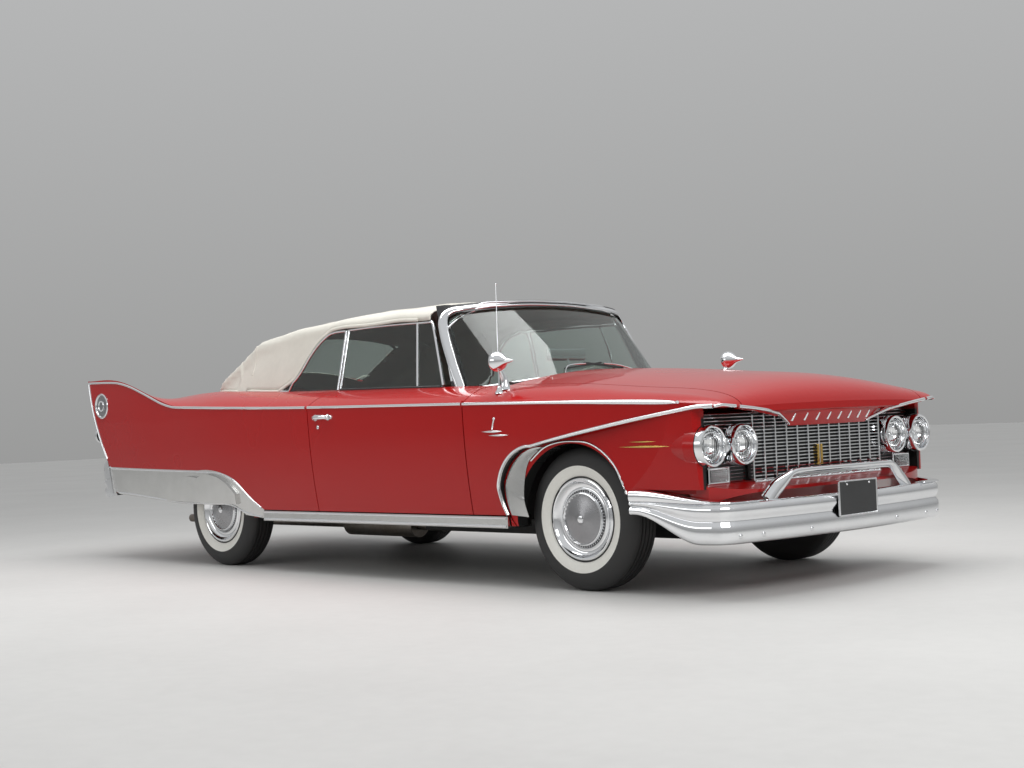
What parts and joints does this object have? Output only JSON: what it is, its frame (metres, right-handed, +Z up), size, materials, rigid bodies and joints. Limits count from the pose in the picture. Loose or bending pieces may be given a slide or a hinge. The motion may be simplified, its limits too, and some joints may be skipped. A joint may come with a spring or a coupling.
{
  "type": "two-door convertible car of about 1960",
  "caption": "Full-size two-door convertible with tall tail fins, raised fabric top, whitewall tyres, opening doors, hood and trunk lid, and steered front wheels.",
  "frame": {"origin": "on the ground, midway between the bumpers and midway between the wheels", "axes": "+X forward, +Y to the car's left, +Z up"},
  "size_m": [5.3178, 1.9962, 1.4819],
  "materials": {
    "paint": "gloss",
    "underbody": "satin",
    "bright_steel": "satin",
    "chrome": "polished",
    "lamp_glass": "gloss",
    "red_lens": "gloss",
    "glass": "gloss",
    "top_fabric": "matte",
    "upholstery": "satin",
    "trim_plastic": "satin",
    "wheel_plastic": "gloss",
    "engine_iron": "matte",
    "exhaust_steel": "matte",
    "tyre": "matte"
  },
  "bodies": {
    "body": {"floor_pan": "underbody", "chassis_frame": "underbody", "cowl": "paint", "fender_right": "paint", "fender_left": "paint", "quarter_right": "paint", "quarter_left": "paint", "rear_deck": "paint", "sills": "bright_steel", "lower_rear_panels": "bright_steel", "nose_panel": "paint", "grille": "chrome", "headlamps": "chrome", "parking_lamps": "lamp_glass", "front_bumper": "chrome", "rear_bumper": "chrome", "tail_lamps": "red_lens", "windshield_frame": "chrome", "windshield": "glass", "soft_top": "top_fabric", "quarter_glass": "glass", "front_seat": "upholstery", "rear_seat": "upholstery", "dashboard": "trim_plastic", "steering_wheel": "wheel_plastic", "engine": "engine_iron", "rear_axle": "underbody", "fender_mirrors": "chrome", "exhaust": "exhaust_steel", "fuel_tank": "underbody"},
    "hood": {"hood": "paint"},
    "trunk_lid": {"trunk_lid": "paint"},
    "door_right": {"door_right": "paint", "door_glass_right": "glass"},
    "door_left": {"door_left": "paint", "door_glass_left": "glass"},
    "steer_right": {"knuckle_right": "underbody"},
    "steer_left": {"knuckle_left": "underbody"},
    "wheel_front_right": {"tyre_front_right": "tyre", "rim_front_right": "chrome"},
    "wheel_front_left": {"tyre_front_left": "tyre", "rim_front_left": "chrome"},
    "wheel_rear_right": {"tyre_rear_right": "tyre", "rim_rear_right": "chrome"},
    "wheel_rear_left": {"tyre_rear_left": "tyre", "rim_rear_left": "chrome"}
  },
  "joints": [
    {"name": "hood_hinge", "type": "hinge", "parent": "body", "child": "hood", "pos_m": [1.105, 0, 0.925], "axis": [0, -1, 0], "range_deg": [0, 50]},
    {"name": "trunk_hinge", "type": "hinge", "parent": "body", "child": "trunk_lid", "pos_m": [-1.7, 0, 1.012], "axis": [0, 1, 0], "range_deg": [0, 62]},
    {"name": "door_right_hinge", "type": "hinge", "parent": "body", "child": "door_right", "pos_m": [1.069, -0.9865, 0.6], "axis": [0, 0, 1], "range_deg": [0, 64]},
    {"name": "door_left_hinge", "type": "hinge", "parent": "body", "child": "door_left", "pos_m": [1.069, 0.9865, 0.6], "axis": [0, 0, -1], "range_deg": [0, 64]},
    {"name": "steer_right", "type": "hinge", "parent": "body", "child": "steer_right", "pos_m": [1.7195, -0.686, 0.335], "axis": [0, 0, 1], "range_deg": [-30, 30]},
    {"name": "steer_left", "type": "hinge", "parent": "body", "child": "steer_left", "pos_m": [1.7195, 0.686, 0.335], "axis": [0, 0, 1], "range_deg": [-30, 30]},
    {"name": "wheel_front_right_roll", "type": "hinge", "parent": "steer_right", "child": "wheel_front_right", "pos_m": [1.7195, -0.7735, 0.335], "axis": [0, 1, 0], "continuous": true},
    {"name": "wheel_front_left_roll", "type": "hinge", "parent": "steer_left", "child": "wheel_front_left", "pos_m": [1.7195, 0.7735, 0.335], "axis": [0, 1, 0], "continuous": true},
    {"name": "wheel_rear_right_roll", "type": "hinge", "parent": "body", "child": "wheel_rear_right", "pos_m": [-1.2775, -0.757, 0.335], "axis": [0, 1, 0], "continuous": true},
    {"name": "wheel_rear_left_roll", "type": "hinge", "parent": "body", "child": "wheel_rear_left", "pos_m": [-1.2775, 0.757, 0.335], "axis": [0, 1, 0], "continuous": true}
  ],
  "couplings": [
    {"joint": "steer_left", "follows": "steer_right", "ratio": 1}
  ]
}
